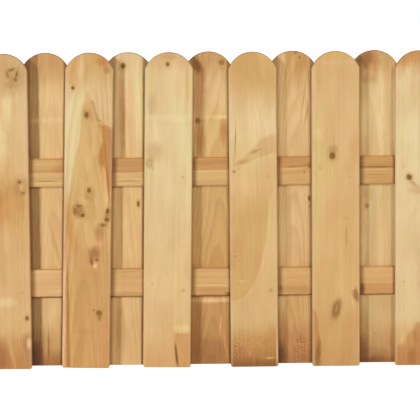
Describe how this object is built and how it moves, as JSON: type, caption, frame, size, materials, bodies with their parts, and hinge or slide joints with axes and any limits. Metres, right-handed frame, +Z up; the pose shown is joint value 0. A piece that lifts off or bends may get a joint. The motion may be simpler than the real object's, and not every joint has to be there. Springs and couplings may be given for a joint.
{
  "type": "fence panel",
  "caption": "Wooden fence panel of round-topped upright boards nailed alternately to the front and back of horizontal rails, the rear boards closing the gaps.",
  "frame": {"origin": "on the ground, under the middle of the panel", "axes": "+X along the rails, to the right as seen from the front; +Y from the front boards to the rear boards; +Z up the boards"},
  "size_m": [1.311, 0.07, 0.9014],
  "materials": {
    "front_boards": "planed softwood, unpainted",
    "rear_boards": "planed softwood, unpainted",
    "rails": "planed softwood, unpainted",
    "nails": "dull wire nail, yellow zinc plated"
  },
  "bodies": {
    "root": {"front_board_1": "front_boards", "front_board_2": "front_boards", "front_board_3": "front_boards", "front_board_4": "front_boards", "front_board_5": "front_boards", "front_board_6": "front_boards", "rear_board_1": "rear_boards", "rear_board_2": "rear_boards", "rear_board_3": "rear_boards", "rear_board_4": "rear_boards", "rear_board_5": "rear_boards", "upper_rail": "rails", "lower_rail": "rails", "front_nails_upper": "nails", "front_nails_lower": "nails", "rear_nails_upper": "nails", "rear_nails_lower": "nails"}
  },
  "joints": []
}
